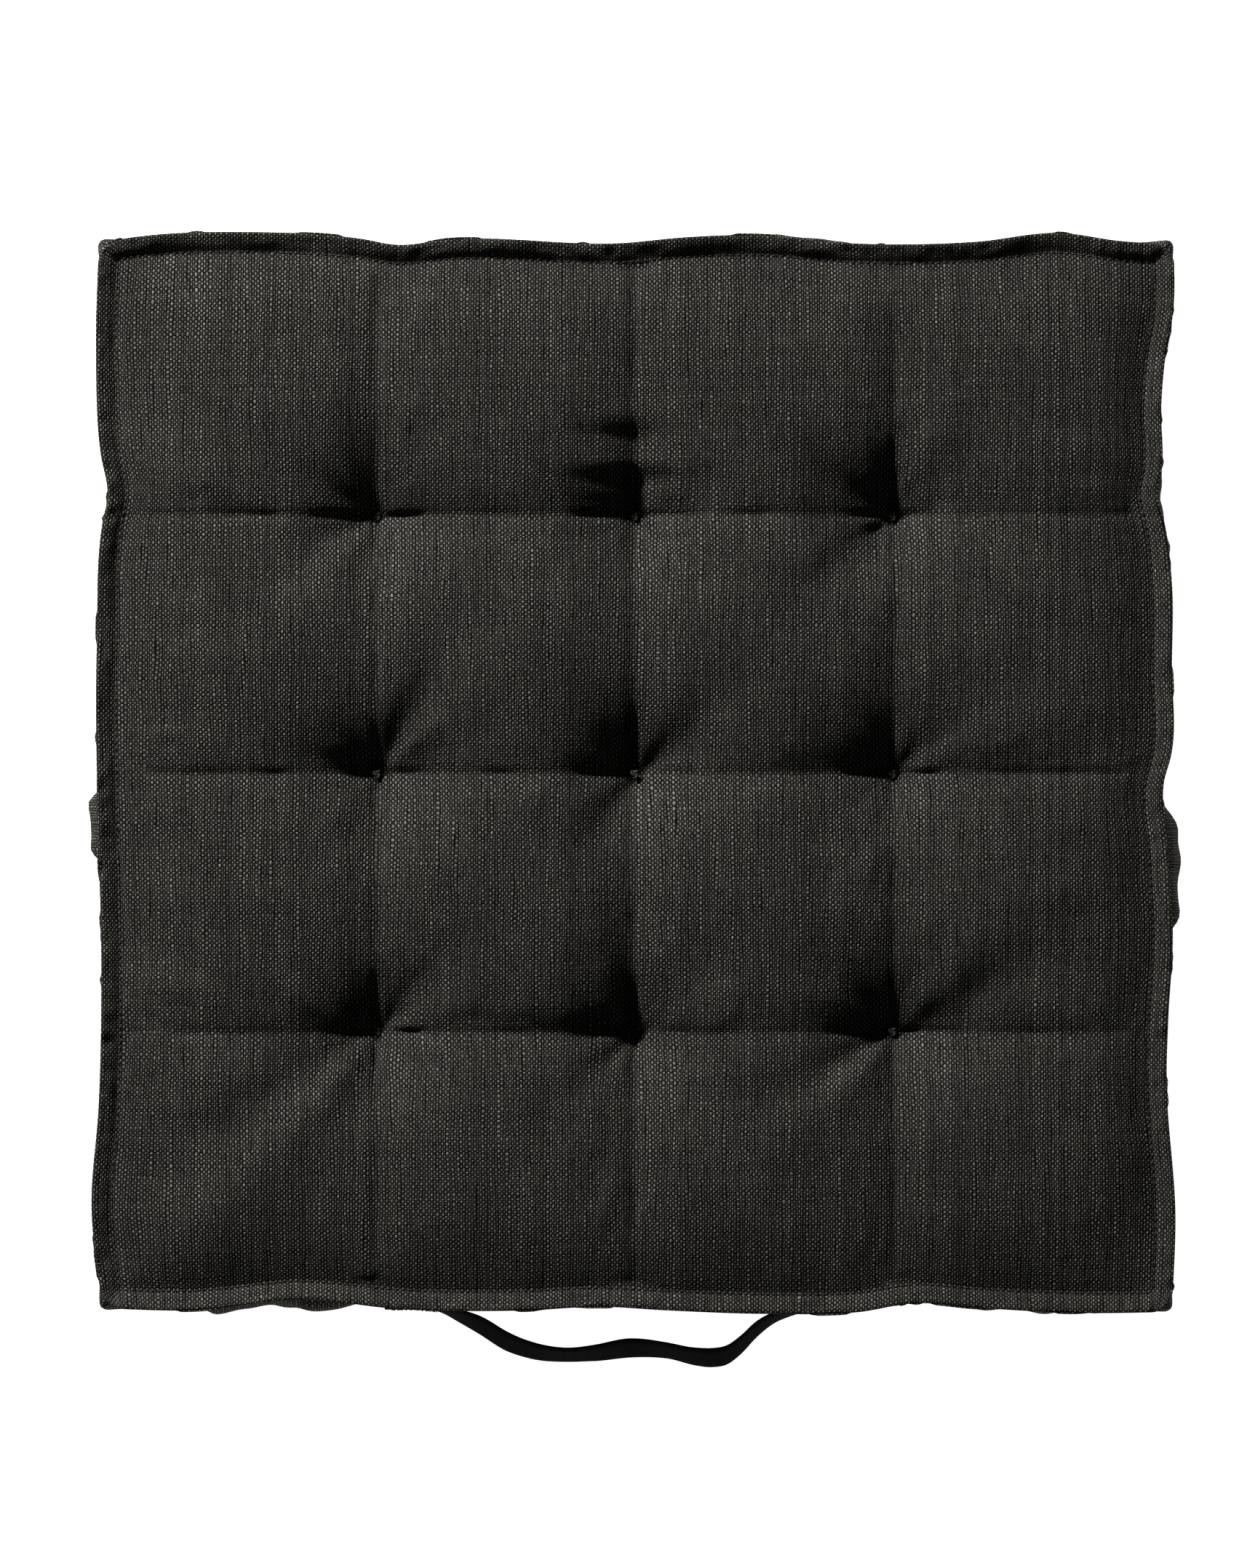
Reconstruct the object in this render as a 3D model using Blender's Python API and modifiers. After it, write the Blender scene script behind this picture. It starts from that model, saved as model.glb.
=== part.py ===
"""Tufted square floor cushion with a carrying handle, as the sewn pieces that it is made of.

Metres, +Z up, resting on z = 0. The handle is on the front, which faces -Y, and the origin is
under the middle of the whole object's box, handle included.
"""

from math import atan2, cos, hypot, pi, radians, sin, tan

import bmesh
import bpy
from mathutils import Vector

# Cover
SIDE = 0.600  # from the crest of one edge lip to the crest of the opposite one
HEIGHT = 0.105  # from the floor to the crowns of the top pillows
CLOTH = 0.0010  # thickness of the cover cloth
TOUCH_GAP = 0.0003  # left between two pieces that touch

# Edge lip: panel and boxing cloth sewn together flat, a lip's width inside the crest
LIP_WIDTH = 0.010
LIP_RISE = 0.0085  # how far the crest stands over the groove
GROOVE_DROP = 0.0185  # from the crowns down to the stitched groove
EDGE_ROLL = 0.060  # width over which the outer pillows round down to the groove

# Tufts
TUFT_PITCH = 0.145  # between neighbouring tufts
TUFT_DEPTH = 0.030  # from a crown down to the seat of a knot
SEAT_MARGIN = 0.001  # of flat seat round a knot
CREASE_DEPTH = 0.008  # of the valleys that join the tufts
CREASE_SLOPE = 0.036  # width of the slope on each side of a valley

# Tufting ties
TIE_RADIUS = 0.0009
TIE_CLEARANCE = 0.0006  # round a tie in its holes
KNOT_RADIUS = 0.0030
KNOT_HEIGHT = 0.0024

# Boxing: the strips round the sides
WALL_BULGE = 0.008  # how far a strip's middle stands outside its seams
SEAM_SETBACK = 0.002  # of a strip's seams outside the groove
WALL_MARGIN = 0.005  # of the strips' upright middle above and below the strap
FILLING_INSET = 0.006  # from the groove in to the rim of the filling

# Handle strap: the route's points are (x, how far the strap's middle stands off the boxing)
STRAP_WIDTH = 0.030
STRAP_THICKNESS = 0.0025
STRAP_LEAN = radians(15)  # of the free loop, top edge inwards
STRAP_STEP = 0.008  # length of one step along the strap
TAB_LEFT = (-0.141, -0.108)
TAB_RIGHT = (0.101, 0.133)
HINGE_LEFT = -0.080
HINGE_RIGHT = 0.066
HINGE_GAP = 0.0004  # between the free loop and its sewn ends
SWING = radians(45)  # of the loop, up or down, until its edge reaches the boxing
SWING_CLEARANCE = 0.0018  # left to the boxing at the end of a swing
LOOP_ROUTE = ((-0.052, 0.0255), (-0.005, 0.0220), (0.040, 0.0270))

# Threads
EDGE_THREAD_RADIUS = 0.0005
EDGE_THREAD_CORNER = 0.006
EDGE_THREAD_CLEARANCE = 0.00045  # over the groove's floor
TAB_THREAD_RADIUS = 0.0004
TAB_THREAD_INSET = 0.004  # from the tab's edges

CROWN = HEIGHT / 2
GROOVE = SIDE / 2 - LIP_WIDTH
GROOVE_LEVEL = CROWN - GROOVE_DROP
LIP_ANGLE = atan2(LIP_RISE, LIP_WIDTH)
TUFT_LINES = (-TUFT_PITCH, 0, TUFT_PITCH)
SEAT_LEVEL = CROWN - TUFT_DEPTH
TUFT_SEAT = 2 * (KNOT_RADIUS + SEAT_MARGIN)
SEAM_OUT = GROOVE + SEAM_SETBACK
WALL_FLAT = STRAP_WIDTH + 2 * WALL_MARGIN
WALL_OUT = SEAM_OUT + WALL_BULGE
HOLE_RADIUS = TIE_RADIUS + TIE_CLEARANCE
TAB_MIDDLE = TOUCH_GAP + STRAP_THICKNESS / 2
HINGE_STANDOFF = (
    STRAP_WIDTH / 2 * sin(SWING) + STRAP_THICKNESS / 2 * cos(SWING) + SWING_CLEARANCE
)
STRAP_ROUTE = (
    (TAB_LEFT[0], TAB_MIDDLE),
    (TAB_LEFT[1], TAB_MIDDLE),
    (HINGE_LEFT, HINGE_STANDOFF),
    *LOOP_ROUTE,
    (HINGE_RIGHT, HINGE_STANDOFF),
    (TAB_RIGHT[0], TAB_MIDDLE),
    (TAB_RIGHT[1], TAB_MIDDLE),
)

COLLECTION_NAME = "floor_cushion"


def clear_scene():
    for old in list(bpy.data.objects):
        bpy.data.objects.remove(old, do_unlink=True)


def new_collection(name):
    made = bpy.data.collections.new(name)
    bpy.context.scene.collection.children.link(made)
    return made


def material(name, colour, roughness):
    made = bpy.data.materials.new(name)
    made.use_nodes = True
    surface = made.node_tree.nodes["Principled BSDF"]
    surface.inputs["Base Color"].default_value = (*colour, 1)
    surface.inputs["Roughness"].default_value = roughness
    surface.inputs["Metallic"].default_value = 0
    return made


def add_piece(name, data, finish, turn=(0, 0, 0)):
    """Links an object that sits at the cushion's middle, turned about it."""
    piece = bpy.data.objects.new(name, data)
    piece.rotation_euler = turn
    piece.parent = middle
    parts.objects.link(piece)
    if not data.materials:
        data.materials.append(finish)
    return piece


def mesh_from(bm, name):
    """Turns a bmesh into a mesh datablock, with its faces pointing out."""
    bmesh.ops.recalc_face_normals(bm, faces=bm.faces)
    mesh = bpy.data.meshes.new(name)
    bm.to_mesh(mesh)
    bm.free()
    return mesh


def ramp(distance, length):
    """0 up to distance 0 and 1 from the length on, with a soft start and end."""
    t = min(max(distance / length, 0), 1)
    return t * t * (3 - 2 * t)


def from_tuft_line(across):
    """Distance from the flat floor of the nearest valley."""
    nearest = min(abs(across - line) for line in TUFT_LINES)
    return max(nearest - TUFT_SEAT / 2, 0)


def quilt_level(x, y):
    """Height of the top cloth's outer side over the cushion's middle plane."""
    inside = GROOVE - max(abs(x), abs(y))
    if inside < 0:
        return GROOVE_LEVEL - inside * tan(LIP_ANGLE)
    near, far = sorted((from_tuft_line(x), from_tuft_line(y)))
    valley = CREASE_DEPTH * (1 - ramp(near, CREASE_SLOPE))
    pit = (TUFT_DEPTH - CREASE_DEPTH) * (1 - ramp(far, CREASE_SLOPE))
    kept = ramp(inside, EDGE_ROLL)
    return CROWN - GROOVE_DROP * (1 - kept) - (valley + pit) * kept


def stations(limit):
    """Places of the grid lines across the cushion, out to the limit on each side."""
    offsets = (TUFT_SEAT / 2, TUFT_SEAT / 2 + CREASE_SLOPE)
    inner = [line + way * step for line in TUFT_LINES for step in offsets for way in (-1, 1)]
    rim = (GROOVE - EDGE_ROLL, GROOVE - EDGE_ROLL / 2, GROOVE - FILLING_INSET, GROOVE, SIDE / 2)
    inner += [way * place for place in rim for way in (-1, 1)]
    kept = []
    for place in sorted(inner):
        if abs(place) <= limit + TOUCH_GAP and (not kept or place - kept[-1] > CLOTH):
            kept.append(place)
    return kept


def quilt_surface(limit):
    """The top cloth's outer side out to the limit, as triangles that face up."""
    lines = stations(limit)
    cells = len(lines) - 1
    bm = bmesh.new()
    bmesh.ops.create_grid(bm, x_segments=cells, y_segments=cells, size=cells / 2)
    for vert in bm.verts:
        x, y = (lines[round(place + cells / 2)] for place in vert.co.xy)
        vert.co = x, y, quilt_level(x, y)
    bmesh.ops.triangulate(bm, faces=bm.faces, quad_method="SHORT_EDGE")
    bm.normal_update()
    return bm


def make_tie_holes():
    """One cutter for all the holes that the tufting ties pass through."""
    bm = bmesh.new()
    for x in TUFT_LINES:
        for y in TUFT_LINES:
            made = bmesh.ops.create_cone(
                bm, cap_ends=True, segments=8, radius1=HOLE_RADIUS, radius2=HOLE_RADIUS, depth=HEIGHT
            )
            bmesh.ops.translate(bm, verts=made["verts"], vec=(x, y, 0))
    cutter = bpy.data.objects.new("tie_holes", mesh_from(bm, "tie_holes"))
    cutter.parent = middle
    cutter.hide_render = True
    cutter.display_type = "WIRE"
    cutters.objects.link(cutter)
    return cutter


def cut_tie_holes(piece):
    cut = piece.modifiers.new("tie_holes", "BOOLEAN")
    cut.operation = "DIFFERENCE"
    cut.solver = "EXACT"
    cut.object = tie_holes


def make_panels():
    """Top and bottom panels: the same quilted square, the bottom one turned over."""
    mesh = bpy.data.meshes.new("panel")
    bm = quilt_surface(SIDE / 2)
    bm.to_mesh(mesh)
    bm.free()
    for name, turn in (("top_panel", 0), ("bottom_panel", pi)):
        panel = add_piece(name, mesh, cover_cloth, turn=(turn, 0, 0))
        wall = panel.modifiers.new("cloth", "SOLIDIFY")
        wall.thickness = CLOTH
        wall.offset = -1
        wall.use_even_offset = True
        cut_tie_holes(panel)


def thick_outline(path, thickness):
    """Both sides of an open path as one closed outline, half the thickness away from it."""
    sides = ([], [])
    for i, point in enumerate(path):
        before = path[max(i - 1, 0)]
        after = path[min(i + 1, len(path) - 1)]
        into = (point - before).normalized() if i else (after - point).normalized()
        out = (after - point).normalized() if i < len(path) - 1 else into
        across = Vector((-into.y - out.y, into.x + out.x)).normalized()
        reach = thickness / 2 / across.dot(Vector((-into.y, into.x)))
        sides[0].append(point + across * reach)
        sides[1].append(point - across * reach)
    return sides[0] + sides[1][::-1]


def make_boxing():
    """Four strips, mitred at the corners, whose edges lie under the panels' lips."""
    under_panel = (CLOTH + TOUCH_GAP + CLOTH / 2) / cos(LIP_ANGLE)
    seam = GROOVE_LEVEL + (SEAM_OUT - GROOVE) * tan(LIP_ANGLE) - under_panel
    crest = GROOVE_LEVEL + LIP_RISE - under_panel
    upper = [(SIDE / 2, crest), (SEAM_OUT, seam), (WALL_OUT - CLOTH / 2, WALL_FLAT / 2)]
    path = [Vector(point) for point in upper]
    path += [Vector((out, -level)) for out, level in reversed(upper)]
    outline = thick_outline(path, CLOTH)

    bm = bmesh.new()
    start = bm.faces.new([bm.verts.new((out, -1, level)) for out, level in outline])
    made = bmesh.ops.extrude_face_region(bm, geom=[start], use_keep_orig=True)
    moved = [item for item in made["geom"] if isinstance(item, bmesh.types.BMVert)]
    bmesh.ops.translate(bm, verts=moved, vec=(0, 2, 0))
    for vert in bm.verts:
        vert.co.y *= vert.co.x - TOUCH_GAP
    mesh = mesh_from(bm, "boxing")
    for turns, name in enumerate(("right", "back", "left", "front")):
        add_piece("boxing_" + name, mesh, cover_cloth, turn=(0, 0, turns * pi / 2))


def make_filling():
    """One soft block that fills the cover, with a hole for each tie."""
    rim = GROOVE - FILLING_INSET
    wall = WALL_OUT - CLOTH - TOUCH_GAP
    bm = quilt_surface(rim)
    clearance = CLOTH + TOUCH_GAP
    sunk = {vert: vert.co - vert.normal * vert.calc_shell_factor() * clearance for vert in bm.verts}
    for vert, place in sunk.items():
        if vert.is_boundary:
            place.xy = vert.co.xy
        vert.co = place
    for level in (STRAP_WIDTH / 2, 0):
        edges = [edge for edge in bm.edges if edge.is_boundary]
        made = bmesh.ops.extrude_edge_only(bm, edges=edges)
        for vert in (item for item in made["geom"] if isinstance(item, bmesh.types.BMVert)):
            for axis in (0, 1):
                if abs(vert.co[axis]) > rim - CLOTH:
                    vert.co[axis] = wall if vert.co[axis] > 0 else -wall
            vert.co.z = level
    filling = add_piece("filling", mesh_from(bm, "filling"), fibre)
    flip = filling.modifiers.new("lower_half", "MIRROR")
    flip.use_axis = (False, False, True)
    flip.merge_threshold = 0.0001
    cut_tie_holes(filling)


def make_ties():
    """Nine ties: a waxed cord through the whole cushion, with a knot seated in each pit."""
    seat = SEAT_LEVEL + TOUCH_GAP
    upper = [
        (0, seat + KNOT_HEIGHT),
        (0.6 * KNOT_RADIUS, seat + 0.85 * KNOT_HEIGHT),
        (KNOT_RADIUS, seat + 0.45 * KNOT_HEIGHT),
        (0.8 * KNOT_RADIUS, seat),
        (TIE_RADIUS, seat),
    ]
    profile = upper + [(out, -level) for out, level in reversed(upper)]
    mesh = bpy.data.meshes.new("tie")
    steps = [(i, i + 1) for i in range(len(profile) - 1)]
    mesh.from_pydata([(out, 0, level) for out, level in profile], steps, [])
    count = 0
    for y in TUFT_LINES:
        for x in TUFT_LINES:
            count += 1
            tie = add_piece(f"tuft_tie_{count}", mesh, tie_cord)
            tie.location = (x, y, 0)
            turned = tie.modifiers.new("turned", "SCREW")
            turned.steps = 8
            turned.render_steps = 8
            turned.use_merge_vertices = True
            turned.merge_threshold = 0.0001


def make_thread(name, corners, radius, sides_level=2):
    """A closed thread through the given points."""
    curve = bpy.data.curves.new(name, "CURVE")
    curve.dimensions = "3D"
    curve.bevel_depth = radius
    curve.bevel_resolution = sides_level
    line = curve.splines.new("POLY")
    line.points.add(len(corners) - 1)
    for point, place in zip(line.points, corners):
        point.co = (*place, 1)
    line.use_cyclic_u = True
    return curve


def make_edge_stitches():
    """The seam that holds each lip: a thread all the way round in the groove."""
    out = GROOVE - 2 * EDGE_THREAD_RADIUS
    straight = out - EDGE_THREAD_CORNER
    level = GROOVE_LEVEL + EDGE_THREAD_CLEARANCE + EDGE_THREAD_RADIUS
    places = []
    for quarter, (side_x, side_y) in enumerate(((1, 1), (-1, 1), (-1, -1), (1, -1))):
        for part in range(4):
            angle = (quarter + part / 3) * pi / 2
            x = side_x * straight + EDGE_THREAD_CORNER * cos(angle)
            y = side_y * straight + EDGE_THREAD_CORNER * sin(angle)
            places.append((x, y, level))
    curve = make_thread("edge_stitch", places, EDGE_THREAD_RADIUS, 1)
    for name, turn in (("top_edge_stitch", 0), ("bottom_edge_stitch", pi)):
        add_piece(name, curve, thread, turn=(turn, 0, 0))


def strap_standoff(x):
    """How far the strap's middle stands off the boxing: an easy curve from point to point."""
    for i in range(len(STRAP_ROUTE) - 1):
        (x0, out0), (x1, out1) = STRAP_ROUTE[i : i + 2]
        if x <= x1:
            break
    slopes = []
    for j in (i, i + 1):
        (xa, a), (xb, b) = STRAP_ROUTE[max(j - 1, 0)], STRAP_ROUTE[min(j + 1, len(STRAP_ROUTE) - 1)]
        turning = (STRAP_ROUTE[j][1] - a) * (b - STRAP_ROUTE[j][1]) <= 0
        slopes.append(0 if turning else (b - a) / (xb - xa))
    t = (x - x0) / (x1 - x0)
    span = x1 - x0
    ends = (2 * t**3 - 3 * t**2 + 1) * out0 + (3 * t**2 - 2 * t**3) * out1
    return ends + span * ((t**3 - 2 * t**2 + t) * slopes[0] + (t**3 - t**2) * slopes[1])


def strap_lean(x):
    """The free loop's lean, easing to none where it is hinged."""
    inside = min(x - HINGE_LEFT, HINGE_RIGHT - x)
    return STRAP_LEAN * ramp(inside, (HINGE_RIGHT - HINGE_LEFT) / 4)


def make_strap_piece(name, start, end):
    """One stretch of the strap: a flat bar, cut across and bent along the strap's route."""
    bm = bmesh.new()
    bmesh.ops.create_cube(bm, size=1)
    cuts = round((end - start) / STRAP_STEP) - 1
    lengthwise = [edge for edge in bm.edges if abs(edge.verts[0].co.x - edge.verts[1].co.x) > 0.5]
    bmesh.ops.subdivide_edges(bm, edges=lengthwise, cuts=cuts, use_grid_fill=True)
    for vert in bm.verts:
        x = start + (vert.co.x + 0.5) * (end - start)
        step = STRAP_STEP / 8
        slope = (strap_standoff(x + step) - strap_standoff(x - step)) / (2 * step)
        lean = strap_lean(x)
        through = vert.co.y * STRAP_THICKNESS * hypot(1, slope)
        up = vert.co.z * STRAP_WIDTH
        y = -(WALL_OUT + strap_standoff(x)) + through * cos(lean) + up * sin(lean)
        vert.co = x, y, up * cos(lean) - through * sin(lean)
    add_piece(name, mesh_from(bm, name), strap_cloth)


def make_handle():
    """One strap sewn down at both ends, parted where its free loop bends at the sewn ends."""
    half = HINGE_GAP / 2
    make_strap_piece("handle_end_left", TAB_LEFT[0], HINGE_LEFT - half)
    make_strap_piece("handle_strap", HINGE_LEFT + half, HINGE_RIGHT - half)
    make_strap_piece("handle_end_right", HINGE_RIGHT + half, TAB_RIGHT[1])


def make_tab_stitches():
    """A square of thread on each sewn end of the strap."""
    face = WALL_OUT + TOUCH_GAP + STRAP_THICKNESS
    y = -(face + TOUCH_GAP + TAB_THREAD_RADIUS)
    top = STRAP_WIDTH / 2 - TAB_THREAD_INSET
    for name, tab in (("handle_stitch_left", TAB_LEFT), ("handle_stitch_right", TAB_RIGHT)):
        low, high = tab[0] + TAB_THREAD_INSET, tab[1] - TAB_THREAD_INSET
        places = [(low, y, -top), (high, y, -top), (high, y, top), (low, y, top)]
        add_piece(name, make_thread(name, places, TAB_THREAD_RADIUS), thread)


def centre_on_origin():
    """Moves the cushion so that the whole object's box is centred over the origin."""
    bpy.context.view_layer.update()
    graph = bpy.context.evaluated_depsgraph_get()
    points = []
    for piece in parts.objects:
        if piece.type == "EMPTY":
            continue
        solid = piece.evaluated_get(graph)
        points += [solid.matrix_world @ vert.co for vert in solid.to_mesh().vertices]
        solid.to_mesh_clear()
    for axis in (0, 1):
        places = [point[axis] for point in points]
        middle.location[axis] -= (min(places) + max(places)) / 2
    bpy.context.view_layer.update()


clear_scene()
parts = new_collection(COLLECTION_NAME)
cutters = new_collection("cutters")
middle = bpy.data.objects.new("cushion_middle", None)
middle.location.z = CROWN
parts.objects.link(middle)

cover_cloth = material("charcoal_linen_weave", (0.030, 0.029, 0.025), 0.95)
strap_cloth = material("black_linen_strap", (0.012, 0.012, 0.011), 0.95)
thread = material("black_sewing_thread", (0.010, 0.010, 0.009), 0.80)
tie_cord = material("waxed_tufting_cord", (0.008, 0.008, 0.008), 0.70)
fibre = material("polyester_fibre_filling", (0.75, 0.74, 0.70), 1.0)

tie_holes = make_tie_holes()
make_panels()
make_boxing()
make_filling()
make_ties()
make_edge_stitches()
make_handle()
make_tab_stitches()
centre_on_origin()
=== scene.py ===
"""Tufted floor cushion: its cover, filling, ties, seams and carrying strap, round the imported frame."""

import bpy
import numpy as np
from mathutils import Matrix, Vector


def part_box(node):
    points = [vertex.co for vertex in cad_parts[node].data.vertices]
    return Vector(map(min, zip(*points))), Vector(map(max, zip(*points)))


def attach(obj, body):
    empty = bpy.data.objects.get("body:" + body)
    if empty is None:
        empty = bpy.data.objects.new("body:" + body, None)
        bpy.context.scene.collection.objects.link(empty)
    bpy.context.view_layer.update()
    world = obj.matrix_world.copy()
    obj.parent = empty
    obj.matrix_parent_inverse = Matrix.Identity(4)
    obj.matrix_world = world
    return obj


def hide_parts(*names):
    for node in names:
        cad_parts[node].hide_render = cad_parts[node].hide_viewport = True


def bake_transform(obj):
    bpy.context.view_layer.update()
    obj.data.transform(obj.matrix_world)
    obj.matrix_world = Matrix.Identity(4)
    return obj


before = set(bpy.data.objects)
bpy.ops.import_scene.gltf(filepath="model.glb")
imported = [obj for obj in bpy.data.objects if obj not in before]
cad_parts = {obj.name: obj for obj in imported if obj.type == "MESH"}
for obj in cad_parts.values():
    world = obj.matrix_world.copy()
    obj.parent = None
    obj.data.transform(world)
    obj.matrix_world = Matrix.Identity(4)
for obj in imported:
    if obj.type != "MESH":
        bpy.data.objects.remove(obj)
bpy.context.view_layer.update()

# --------------------------------------------------------------------------------------------
# Upper and lower panel: two squares of slub linen, quilted by nine ties. Each is stretched
# over the filling, folded up into a lip round its edge, and sewn down along the lip's foot.
# --------------------------------------------------------------------------------------------

panel_low, panel_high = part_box("top_panel")
stitch_low, stitch_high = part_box("top_edge_stitch")
knot_low, knot_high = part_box("tuft_tie_1")
far_knot_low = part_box("tuft_tie_9")[0]
MIDDLE = (panel_low + panel_high) / 2
MIDDLE.z = (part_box("bottom_panel")[0].z + panel_high.z) / 2
HALF_HEIGHT = panel_high.z - MIDDLE.z
CREST = panel_high.x
# the groove runs just outside the stitches and just below them, and the filling lifts it a little
STITCH_ROOM = 0.0005
GROOVE = stitch_high.x + STITCH_ROOM
GROOVE_LIFT = 0.0055
GROOVE_LEVEL = stitch_low.z - STITCH_ROOM - MIDDLE.z + GROOVE_LIFT
LIP_RISE = 0.0065
LIP_CORNER = 0.012
LIP_TURN = 0.0014
PITCH = (far_knot_low.x - knot_low.x) / 2
TUFT_LINES = np.array([-PITCH, 0, PITCH])
KNOT_HEIGHT = 0.0027
SEAT_LEVEL = knot_high.z - KNOT_HEIGHT - MIDDLE.z
# the crowns start a little low, because the filling pushes them up
START_LEVEL = HALF_HEIGHT - 0.0045
CELLS_PER_PITCH = 36
FINE_CELLS = 50
CLOTH = 0.0009


def ease(t):
    """0 below t = 0, 1 above t = 1, and t squared times (3 - 2t) between them."""
    t = np.clip(t, 0, 1)
    return t * t * (3 - 2 * t)


def waves(x, y, length, seed, count=24):
    """Uneven ground of height about 1: a sum of cosines of random directions and phases,
    with wavelengths from 0.7 to 1.4 times the given length."""
    rng = np.random.default_rng(seed)
    total = np.zeros(np.broadcast(x, y).shape)
    for _ in range(count):
        turn, phase = rng.uniform(0, 2 * np.pi, 2)
        rate = 2 * np.pi / (length * rng.uniform(0.7, 1.4))
        total += np.cos(rate * (x * np.cos(turn) + y * np.sin(turn)) + phase)
    return total * np.sqrt(2 / count)


def smooth_line(places, at, values):
    """A smooth line through a few values: cubic Hermite pieces, whose slope at each value is that
    of the straight line between its neighbours. Rows of values are taken together."""
    slope = np.gradient(values, at, axis=0)
    i = np.clip(np.searchsorted(at, places) - 1, 0, len(at) - 2)
    spread = (...,) + (None,) * (values.ndim - 1)
    step = (at[i + 1] - at[i])[spread]
    t = np.clip((places - at[i]) / (at[i + 1] - at[i]), 0, 1)[spread]
    rest = 1 - t
    line = values[i] * rest**2 * (1 + 2 * t) + values[i + 1] * t**2 * (1 + 2 * rest)
    return line + step * t * rest * (slope[i] * rest - slope[i + 1] * t)


# Each edge's wander in mm, outwards, at places along it in mm: the ties pull it in and the
# pillows push it out between them.
EDGE_WANDER = {
    "back": [
        (-300, -3), (-282, 0), (-217, 3), (-152, -1), (-135, -4), (-103, -1), (-5, -3), (27, 0), (76, 1),
        (109, -2.5), (190, -2.5), (239, 2.5), (271, -2), (300, -4),
    ],
    "front": [
        (-300, -1), (-249, 0), (-184, -6), (-135, -1), (-60, 0), (-20, -2), (17, 0), (75, 2), (125, 1),
        (157, -4), (190, -1.5), (255, 1.5), (300, 1),
    ],
    "left": [
        (-300, -2), (-243, 4), (-186, 0), (-104, -1.5), (-7, 1), (75, 1), (140, -2), (156, -5), (180, -1),
        (238, 1.5), (300, 0),
    ],
    "right": [
        (-300, 0), (-251, 2), (-169, -3), (-137, -2), (-88, 0.5), (-60, -1), (-36, -2.5), (-17, -5),
        (-5, -4.5), (10, -0.5), (60, 0), (107, 0), (140, -4), (156, -8), (172, -5.5), (205, -6),
        (238, -3), (254, 0), (300, 1.5),
    ],
}
EDGE_WANDER = {name: np.array(points, float).T for name, points in EDGE_WANDER.items()}


def wander(x, y, reach=0.055):
    """How far each point shifts in x and in y, by its nearest edges' wander, which fades to none
    inside the reach."""
    parts = []
    for place, other, far, near in ((x, y, "right", "left"), (y, x, "back", "front")):
        share = ease(1 - (CREST - np.abs(place)) / reach)
        out = np.where(place > 0, smooth_line(other * 1e3, *EDGE_WANDER[far]), 0)
        out -= np.where(place < 0, smooth_line(other * 1e3, *EDGE_WANDER[near]), 0)
        parts.append(out * share / 1e3)
    return parts


def round_corner(x, y, side, radius):
    """Rounds a square's corners: past side - radius both ways, a and b, measured from there in
    radii, become a times the root of (1 - b b / 2), and b times the root of (1 - a a / 2)."""
    start = side - radius
    a = np.clip((np.abs(x) - start) / radius, 0, None)
    b = np.clip((np.abs(y) - start) / radius, 0, None)
    both = (a > 0) & (b > 0)
    new_a = a * np.sqrt(np.clip(1 - b * b / 2, 0, 1))
    new_b = b * np.sqrt(np.clip(1 - a * a / 2, 0, 1))
    x = np.where(both, np.sign(x) * (start + new_a * radius), x)
    y = np.where(both, np.sign(y) * (start + new_b * radius), y)
    return x, y


# Long folds that leave a tuft: column, row, direction in degrees, reach and height in mm.
# A positive height is a ridge, and a negative one is a furrow.
FOLDS = [
    (0, 2, 152, 70, -2.2), (0, 2, 128, 50, 1.6), (0, 2, 215, 60, -2.4), (0, 2, 236, 50, 1.6),
    (0, 2, 40, 40, 1.4),
    (2, 2, 150, 80, -3.0), (2, 2, 222, 60, -3.0), (2, 2, 244, 70, -1.8), (2, 2, 262, 60, 1.8),
    (2, 2, 40, 50, -1.6),
    (0, 1, 60, 95, -4.0), (0, 1, 84, 95, 2.4), (0, 1, 36, 60, 2.0), (0, 1, 165, 60, -2.2),
    (0, 1, 275, 90, -1.2),
    (1, 1, 120, 60, -2.2), (1, 1, 40, 70, -2.4), (1, 1, 68, 50, 1.8), (1, 1, 238, 50, -2.2),
    (2, 1, 176, 140, -2.6), (2, 1, 40, 60, -3.4), (2, 1, 20, 50, 2.0), (2, 1, 5, 120, -1.6),
    (2, 1, 220, 40, -1.8),
    (0, 0, 140, 70, -2.6), (0, 0, 214, 150, -4.4), (0, 0, 229, 160, 4.0), (0, 0, 50, 60, -2.2),
    (1, 0, 96, 110, -3.2), (1, 0, 112, 100, 2.6), (1, 0, 40, 50, -2.4), (1, 0, 228, 50, -2.8),
    (1, 0, 178, 80, -1.6),
    (2, 0, 27, 120, -4.0), (2, 0, 48, 70, 2.2), (2, 0, 208, 80, -3.6), (2, 0, 225, 60, 2.2),
    (2, 0, 120, 60, -2.0),
]
# Level folds behind the middle tuft of the back row: middle x and y, length, width and height
# in mm.
BARS = [
    (-8, 165, 22, 4.5, -4.2), (-4, 174, 24, 4.5, 2.4), (-10, 190, 22, 5.0, -2.6), (-4, 199, 26, 6.0, 1.6),
]
# pits round the ties, and the valleys between the pillows
PIT_WIDTH = 0.030
PIT_POWER = 2.0
CREASE_DEPTH = 0.0062
CREASE_REACH = 0.030
# how far in from the groove a panel rolls down to it
ROLL_REACH = 0.045
# how the settled pillows are filled out: their crowns' level, and how far the ties sink in them
FULLNESS = 1.35
CROWN_LEVEL = HALF_HEIGHT + 0.0005
SINK = 0.006
# the cloth is cut a little larger than its frame, and the filling pushes it out
SLACK = 1.035
PRESSURE = 150
CREASE_LINE = 0.0011
PLEAT_HEIGHT = 0.0009
PLEAT_REACH = 0.016
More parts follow.
